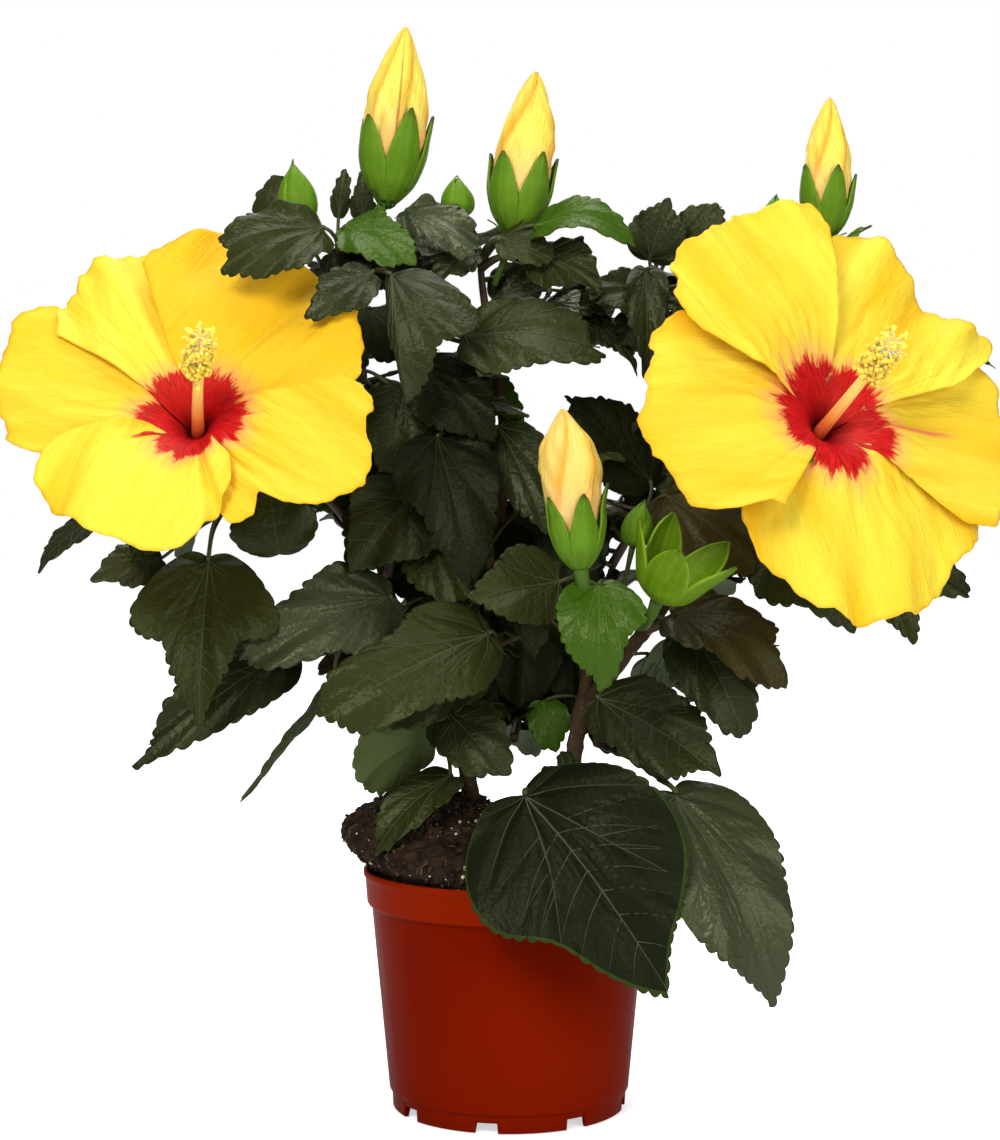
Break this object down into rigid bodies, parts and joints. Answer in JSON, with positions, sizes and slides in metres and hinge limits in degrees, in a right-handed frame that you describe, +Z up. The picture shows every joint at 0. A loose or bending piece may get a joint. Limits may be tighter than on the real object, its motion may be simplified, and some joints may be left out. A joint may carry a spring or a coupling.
{
  "type": "potted hibiscus shrub",
  "caption": "Hibiscus shrub with yellow blooms, pointed buds and dark glossy leaves, standing in a terracotta-coloured plastic nursery pot.",
  "frame": {"origin": "middle of the pot's flat underside", "axes": "+Z up; the two open blooms face -Y; +X is to the right when the blooms are seen from the front"},
  "size_m": [0.4049, 0.2116, 0.442],
  "materials": {
    "pot": "satin",
    "peat": "matte",
    "bark": "matte",
    "leaf": "satin",
    "petal": "matte",
    "bud": "matte",
    "sepal": "satin"
  },
  "bodies": {
    "root": {"pot": "pot", "soil": "peat", "stem_left": "bark", "stem_right": "bark", "bough_left": "bark", "bough_centre": "bark", "bough_middle": "bark", "bough_right": "bark", "bloom_left": "petal", "bloom_right": "petal", "bud_top_left": "bud", "bud_top_centre": "bud", "bud_top_right": "bud", "bud_front": "bud", "spent_calyx": "sepal", "foliage_front": "leaf", "foliage_front_right": "leaf", "foliage_middle": "leaf", "foliage_lower_right": "leaf", "foliage_right_low": "leaf", "foliage_left": "leaf", "foliage_mid_left": "leaf", "foliage_lower_left": "leaf", "foliage_low": "leaf", "foliage_centre": "leaf", "foliage_centre_left": "leaf", "foliage_centre_right": "leaf", "foliage_top_left": "leaf", "foliage_top_centre": "leaf", "foliage_upper_centre": "leaf", "foliage_top_right": "leaf", "foliage_right_top": "leaf", "foliage_right_under": "leaf", "foliage_back_left": "leaf", "foliage_back_centre": "leaf", "foliage_back_right": "leaf", "foliage_back_low": "leaf"}
  },
  "joints": []
}
